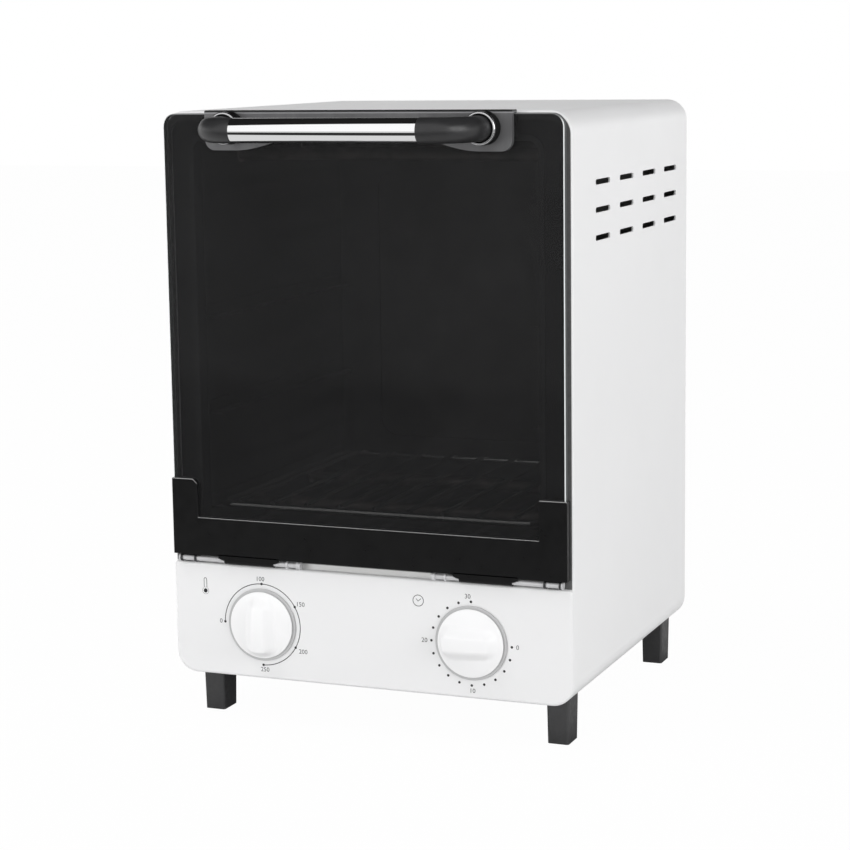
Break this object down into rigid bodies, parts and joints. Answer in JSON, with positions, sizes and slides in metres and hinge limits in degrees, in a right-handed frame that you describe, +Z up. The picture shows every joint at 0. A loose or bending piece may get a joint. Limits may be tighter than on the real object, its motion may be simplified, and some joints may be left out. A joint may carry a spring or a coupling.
{
  "type": "dry heat sterilizer",
  "caption": "Bench-top dry heat sterilizer cabinet with a drop-down glass door, bar handle, wire rack, temperature dial, timer dial and feet.",
  "frame": {"origin": "middle of the footprint of the whole object, handle and cord inlet included, on the surface that the feet stand on", "axes": "+Z up, +X to the right as seen from the front, +Y from the door to the back; the door and dials face -Y"},
  "size_m": [0.255, 0.2952, 0.3686],
  "materials": {
    "cover_paint": "smooth light grey-white powder coat",
    "panel_paint": "smooth light grey-white powder coat",
    "frame_paint": "light heat-proof paint",
    "black_paint": "satin black",
    "plate_steel": "satin graphite grey",
    "bright_chrome": "mirror bright",
    "dark_glass": "tempered, dark tint",
    "black_plastic": "moulded, fine matt",
    "foot_plastic": "moulded, fine matt",
    "knob_plastic": "moulded, soft gloss",
    "terminal_plastic": "moulded, matt",
    "strip_foam": "thin foam strip",
    "seat_silicone": "silicone strip",
    "chamber_steel": "rolled stainless sheet",
    "rack_wire": "plated wire",
    "heater_sheath": "heat-darkened steel sheath",
    "bush_ceramic": "unglazed white",
    "zinc_steel": "zinc plated",
    "bell_metal": "nickel plated",
    "shaft_metal": "turned"
  },
  "bodies": {
    "housing": {"outer_cover": "cover_paint", "base_plate": "zinc_steel", "rear_panel": "cover_paint", "front_frame": "frame_paint", "fascia_panel": "panel_paint", "rim_strip": "strip_foam", "mouth_seal": "seat_silicone", "foot_front_left": "foot_plastic", "foot_front_right": "foot_plastic", "foot_rear_left": "foot_plastic", "foot_rear_right": "foot_plastic", "foot_screws": "zinc_steel", "rear_screws": "zinc_steel", "cord_inlet": "black_plastic", "terminal_block": "terminal_plastic", "chamber_left_wall": "chamber_steel", "chamber_right_wall": "chamber_steel", "chamber_roof": "chamber_steel", "chamber_floor": "chamber_steel", "chamber_back": "chamber_steel", "rack_rails_left": "chamber_steel", "rack_rails_right": "chamber_steel", "heater_lower_front": "heater_sheath", "heater_lower_rear": "heater_sheath", "heater_upper_front": "heater_sheath", "heater_upper_rear": "heater_sheath", "heater_bushes": "bush_ceramic", "thermostat_body": "zinc_steel", "timer_body": "zinc_steel", "timer_bell": "bell_metal", "thermostat_nut": "zinc_steel", "timer_nut": "zinc_steel", "hinge_rod_left": "zinc_steel", "hinge_rod_right": "zinc_steel", "hinge_saddle_left_inner": "zinc_steel", "hinge_saddle_left_outer": "zinc_steel", "hinge_saddle_right_inner": "zinc_steel", "hinge_saddle_right_outer": "zinc_steel"},
    "door": {"glass_pane": "dark_glass", "door_bracket": "black_paint", "glass_seat": "seat_silicone", "handle_plate": "plate_steel", "handle_post_left": "black_plastic", "handle_post_right": "black_plastic", "handle_ring_left": "bright_chrome", "handle_ring_right": "bright_chrome", "handle_elbow_left": "black_plastic", "handle_elbow_right": "black_plastic", "handle_tube": "bright_chrome", "handle_screws": "zinc_steel"},
    "thermostat_dial": {"thermostat_knob": "knob_plastic", "thermostat_shaft": "shaft_metal"},
    "timer_dial": {"timer_knob": "knob_plastic", "timer_shaft": "shaft_metal"},
    "rack": {"wire_rack": "rack_wire"}
  },
  "joints": [
    {"name": "door_hinge", "type": "hinge", "parent": "housing", "child": "door", "pos_m": [0, -0.09474, 0.09986], "axis": [1, 0, 0], "range_deg": [0, 90]},
    {"name": "thermostat_knob_turn", "type": "hinge", "parent": "housing", "child": "thermostat_dial", "pos_m": [-0.069, -0.0939, 0.0615], "axis": [0, 1, 0], "range_deg": [-90, 180]},
    {"name": "timer_knob_turn", "type": "hinge", "parent": "housing", "child": "timer_dial", "pos_m": [0.0655, -0.0939, 0.0615], "axis": [0, 1, 0], "range_deg": [0, 270]},
    {"name": "rack_slide", "type": "slide", "parent": "housing", "child": "rack", "axis": [0, -1, 0], "range_m": [0, 0.071]}
  ],
  "couplings": [
    {"joint": "rack_slide", "follows": "door_hinge", "m_per_rad": 0.045}
  ]
}
